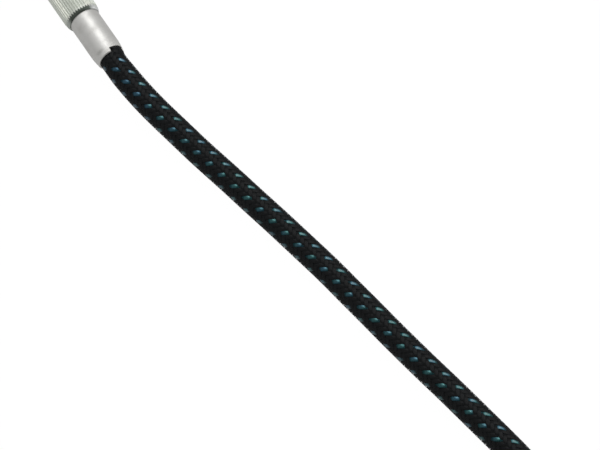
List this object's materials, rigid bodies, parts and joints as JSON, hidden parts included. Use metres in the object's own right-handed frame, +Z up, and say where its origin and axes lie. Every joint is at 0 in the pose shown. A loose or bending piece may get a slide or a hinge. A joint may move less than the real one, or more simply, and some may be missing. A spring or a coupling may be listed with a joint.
{
  "type": "cable shutter release",
  "caption": "Braided cable release with a knurled swivelling screw tip, sprung release pin and a plunger head with finger rest, thumb button and lock screw.",
  "frame": {"origin": "centre of the knurled collar's front shoulder, on the axis of the camera screw", "axes": "+Y out of the camera screw along its axis, +Z up from the table that the release lies on, +X to the right"},
  "size_m": [0.0519, 0.2156, 0.0147],
  "materials": {
    "plated_brass": "aged dull nickel plate on brass",
    "ferrule_metal": "bright polished",
    "bare_brass": "turned, unplated",
    "spring_steel": "drawn wire",
    "pin_steel": "ground",
    "braid": "tight black braided cotton with small blue and teal flecks"
  },
  "bodies": {
    "head": {"barrel": "plated_brass", "barrel_base": "plated_brass", "finger_rest": "plated_brass", "rest_nut": "plated_brass", "guide_bush": "plated_brass", "return_spring": "spring_steel", "head_ferrule": "ferrule_metal", "conduit_head": "spring_steel", "cord_lead": "braid", "cord_coil": "braid", "cord_tail": "braid", "tip_ferrule": "ferrule_metal", "conduit_tip": "spring_steel", "swivel_stem": "bare_brass"},
    "collar": {"knurled_collar": "plated_brass", "thread_cone": "plated_brass", "collar_ring": "bare_brass"},
    "pin": {"release_pin": "pin_steel", "pin_wire": "spring_steel"},
    "plunger": {"plunger_rod": "pin_steel", "thumb_button": "plated_brass", "spring_seat": "bare_brass", "wire_clamp": "bare_brass", "plunger_wire": "spring_steel"},
    "lock_pad": {"lock_pad": "bare_brass"},
    "lock_screw": {"lock_screw": "plated_brass"}
  },
  "joints": [
    {"name": "plunger_slide", "type": "slide", "parent": "head", "child": "plunger", "axis": [0, 1, 0], "range_m": [0, 0.009], "stiffness_N_per_m": 200, "springref_m": -0.005, "deforming": ["return_spring"]},
    {"name": "pin_slide", "type": "slide", "parent": "head", "child": "pin", "axis": [0, 1, 0], "range_m": [0, 0.009]},
    {"name": "collar_spin", "type": "hinge", "parent": "head", "child": "collar", "pos_m": [0, -0.004, 0], "axis": [0, 1, 0], "continuous": true},
    {"name": "lock_feed", "type": "slide", "parent": "head", "child": "lock_pad", "axis": [0, 0, -1], "range_m": [0, 0.0003]},
    {"name": "lock_turn", "type": "hinge", "parent": "lock_pad", "child": "lock_screw", "pos_m": [0.012, -0.1925, 0.00328], "axis": [0, 0, -1], "range_deg": [0, 309]}
  ],
  "couplings": [
    {"joint": "pin_slide", "follows": "plunger_slide", "ratio": 1},
    {"joint": "lock_turn", "follows": "lock_feed", "rad_per_m": 17952}
  ]
}
